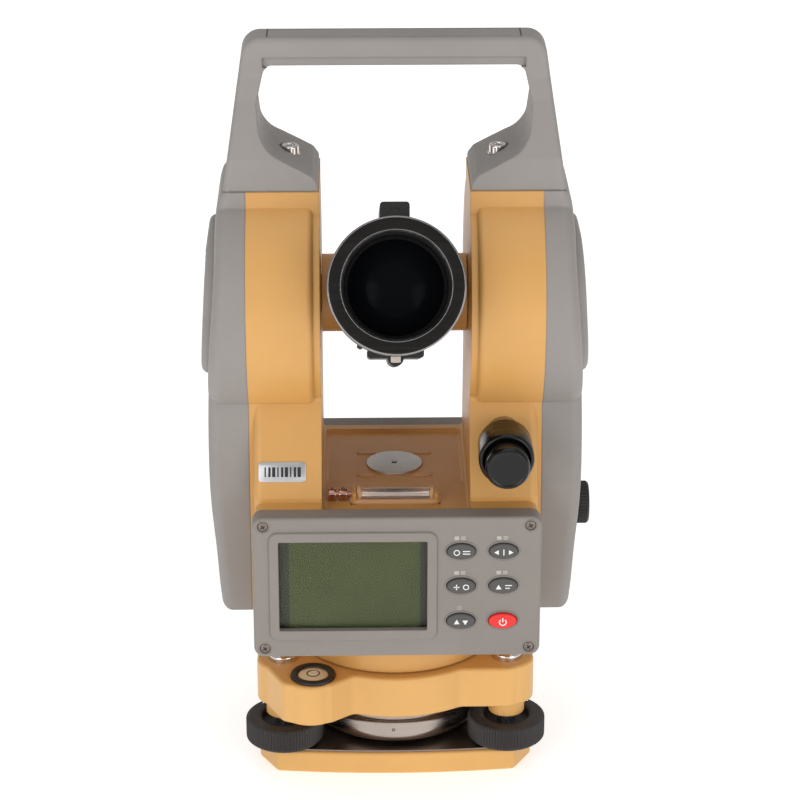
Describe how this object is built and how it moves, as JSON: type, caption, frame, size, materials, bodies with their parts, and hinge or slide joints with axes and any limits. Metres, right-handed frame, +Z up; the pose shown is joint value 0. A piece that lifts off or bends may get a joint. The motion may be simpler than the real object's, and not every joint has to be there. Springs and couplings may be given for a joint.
{
  "type": "surveying total station",
  "caption": "Surveying instrument with a tilting telescope in a U-shaped frame, carrying handle, display with keys, levelling head and three-screw base.",
  "frame": {"origin": "centre of the tripod thread at the underside of the base plate", "axes": "+Z up along the vertical axis, -Y towards the viewer of the display, +X towards the optical plummet's eyepiece"},
  "size_m": [0.1696, 0.1616, 0.3295],
  "materials": {
    "yellow_paint": "cast, painted satin yellow, fine texture",
    "grey_shell": "fine matt texture",
    "display_grey": "fine matt texture",
    "dark_shell": "fine matt texture",
    "black_plastic": "matt",
    "knob_rubber": "ribbed",
    "black_paint": "painted satin black",
    "spring_steel": "polished",
    "turned_aluminium": "turned",
    "steel": "ground",
    "chrome": "bright",
    "dark_screw": "blackened",
    "bronze": "turned",
    "copper_screw": "bright",
    "optical_glass": "coated",
    "circle_glass": "clear",
    "vial_glass": "clear",
    "window_acrylic": "clear",
    "crystal_panel": "smooth",
    "board_green": "solder mask",
    "key_grey": "matt",
    "key_red": "matt",
    "cell_wrap": "printed sleeve",
    "label_foil": "satin foil"
  },
  "bodies": {
    "base": {"base_plate": "yellow_paint", "spring_plate": "spring_steel"},
    "footscrew_left": {"footscrew_stem_left": "steel", "footscrew_knob_left": "knob_rubber"},
    "footscrew_right": {"footscrew_stem_right": "steel", "footscrew_knob_right": "knob_rubber"},
    "footscrew_rear": {"footscrew_stem_rear": "steel", "footscrew_knob_rear": "knob_rubber"},
    "tribrach": {"tribrach_body": "yellow_paint", "footscrew_caps": "chrome", "sleeve_set_screws": "steel", "centre_boss": "turned_aluminium", "circular_level_ring": "black_paint", "circular_level_vial": "vial_glass", "axis_sleeve": "steel", "horizontal_circle": "circle_glass"},
    "alidade": {"spindle": "steel", "alidade_frame": "yellow_paint", "left_cover": "grey_shell", "right_cover": "grey_shell", "rear_cover": "dark_shell", "handle": "grey_shell", "handle_strip": "grey_shell", "handle_screws": "chrome", "display_housing": "display_grey", "display_screws": "dark_screw", "display_window": "window_acrylic", "display_panel": "crystal_panel", "display_board": "board_green", "serial_plate": "label_foil", "centre_mark": "turned_aluminium", "plate_level_holder": "yellow_paint", "plate_level_vial": "vial_glass", "plate_level_screw": "copper_screw", "vertical_drive_body": "steel", "horizontal_drive_body": "steel", "plummet_tube": "black_paint", "trunnion_bushes": "bronze"},
    "battery": {"battery_case": "grey_shell", "battery_cells": "cell_wrap"},
    "key_1": {"key_1": "key_grey"},
    "key_2": {"key_2": "key_grey"},
    "key_3": {"key_3": "key_grey"},
    "key_4": {"key_4": "key_grey"},
    "key_5": {"key_5": "key_grey"},
    "key_6": {"key_6": "key_red"},
    "vertical_clamp": {"vertical_clamp_knob": "black_plastic"},
    "vertical_tangent": {"vertical_tangent_knob": "black_plastic"},
    "horizontal_clamp": {"horizontal_clamp_knob": "black_plastic"},
    "horizontal_tangent": {"horizontal_tangent_knob": "black_plastic"},
    "plummet_eyepiece": {"plummet_eyepiece": "black_plastic"},
    "telescope": {"telescope_body": "yellow_paint", "vertical_circle": "circle_glass", "objective_hood": "black_paint", "objective_lens": "optical_glass", "top_sight": "black_plastic", "bottom_sight": "black_plastic", "eyepiece_tube": "steel"},
    "focus_ring": {"focus_ring": "black_plastic"},
    "eyepiece": {"eyepiece": "black_plastic"}
  },
  "joints": [
    {"name": "footscrew_left_turn", "type": "hinge", "parent": "base", "child": "footscrew_left", "pos_m": [-0.04971, -0.0287, 0.0177], "axis": [0, 0, 1], "range_deg": [-1080, 360]},
    {"name": "footscrew_right_turn", "type": "hinge", "parent": "base", "child": "footscrew_right", "pos_m": [0.04971, -0.0287, 0.0177], "axis": [0, 0, 1], "range_deg": [-1080, 360]},
    {"name": "footscrew_rear_turn", "type": "hinge", "parent": "base", "child": "footscrew_rear", "pos_m": [0, 0.0574, 0.0177], "axis": [0, 0, 1], "range_deg": [-1080, 360]},
    {"name": "tribrach_rise", "type": "slide", "parent": "base", "child": "tribrach", "axis": [0, 0, 1], "range_m": [-0.0008, 0.0024]},
    {"name": "alidade_turn", "type": "hinge", "parent": "tribrach", "child": "alidade", "pos_m": [0, 0, 0.06], "axis": [0, 0, 1], "continuous": true},
    {"name": "telescope_tilt", "type": "hinge", "parent": "alidade", "child": "telescope", "pos_m": [0, 0, 0.2142], "axis": [1, 0, 0], "continuous": true},
    {"name": "focus_turn", "type": "hinge", "parent": "telescope", "child": "focus_ring", "pos_m": [0, 0, 0.2142], "axis": [0, -0.9239, 0.3827], "range_deg": [-180, 180]},
    {"name": "eyepiece_turn", "type": "hinge", "parent": "telescope", "child": "eyepiece", "pos_m": [0, 0, 0.2142], "axis": [0, -0.9239, 0.3827], "range_deg": [-90, 90]},
    {"name": "vertical_clamp_turn", "type": "hinge", "parent": "alidade", "child": "vertical_clamp", "pos_m": [0.046, -0.0575, 0.1637], "axis": [0, -1, 0], "range_deg": [-60, 60]},
    {"name": "vertical_tangent_turn", "type": "hinge", "parent": "alidade", "child": "vertical_tangent", "pos_m": [0.046, -0.0715, 0.1637], "axis": [0, -1, 0], "range_deg": [-1080, 1080]},
    {"name": "horizontal_clamp_turn", "type": "hinge", "parent": "alidade", "child": "horizontal_clamp", "pos_m": [-0.038, 0.0635, 0.098], "axis": [0, 1, 0], "range_deg": [-60, 60]},
    {"name": "horizontal_tangent_turn", "type": "hinge", "parent": "alidade", "child": "horizontal_tangent", "pos_m": [-0.038, 0.0775, 0.098], "axis": [0, 1, 0], "range_deg": [-1080, 1080]},
    {"name": "plummet_focus_turn", "type": "hinge", "parent": "alidade", "child": "plummet_eyepiece", "pos_m": [0.083, 0, 0.1138], "axis": [1, 0, 0], "range_deg": [-120, 120]},
    {"name": "key_1_press", "type": "slide", "parent": "alidade", "child": "key_1", "axis": [0, 1, 0], "range_m": [0, 0.0008], "stiffness_N_per_m": 400, "springref_m": -0.0005},
    {"name": "key_2_press", "type": "slide", "parent": "alidade", "child": "key_2", "axis": [0, 1, 0], "range_m": [0, 0.0008], "stiffness_N_per_m": 400, "springref_m": -0.0005},
    {"name": "key_3_press", "type": "slide", "parent": "alidade", "child": "key_3", "axis": [0, 1, 0], "range_m": [0, 0.0008], "stiffness_N_per_m": 400, "springref_m": -0.0005},
    {"name": "key_4_press", "type": "slide", "parent": "alidade", "child": "key_4", "axis": [0, 1, 0], "range_m": [0, 0.0008], "stiffness_N_per_m": 400, "springref_m": -0.0005},
    {"name": "key_5_press", "type": "slide", "parent": "alidade", "child": "key_5", "axis": [0, 1, 0], "range_m": [0, 0.0008], "stiffness_N_per_m": 400, "springref_m": -0.0005},
    {"name": "key_6_press", "type": "slide", "parent": "alidade", "child": "key_6", "axis": [0, 1, 0], "range_m": [0, 0.0008], "stiffness_N_per_m": 400, "springref_m": -0.0005},
    {"name": "battery_slide", "type": "slide", "parent": "alidade", "child": "battery", "axis": [-1, 0, 0], "range_m": [0, 0.03]}
  ],
  "couplings": [
    {"joint": "footscrew_left_turn", "follows": "tribrach_rise", "rad_per_m": -7854},
    {"joint": "footscrew_right_turn", "follows": "tribrach_rise", "rad_per_m": -7854},
    {"joint": "footscrew_rear_turn", "follows": "tribrach_rise", "rad_per_m": -7854}
  ]
}
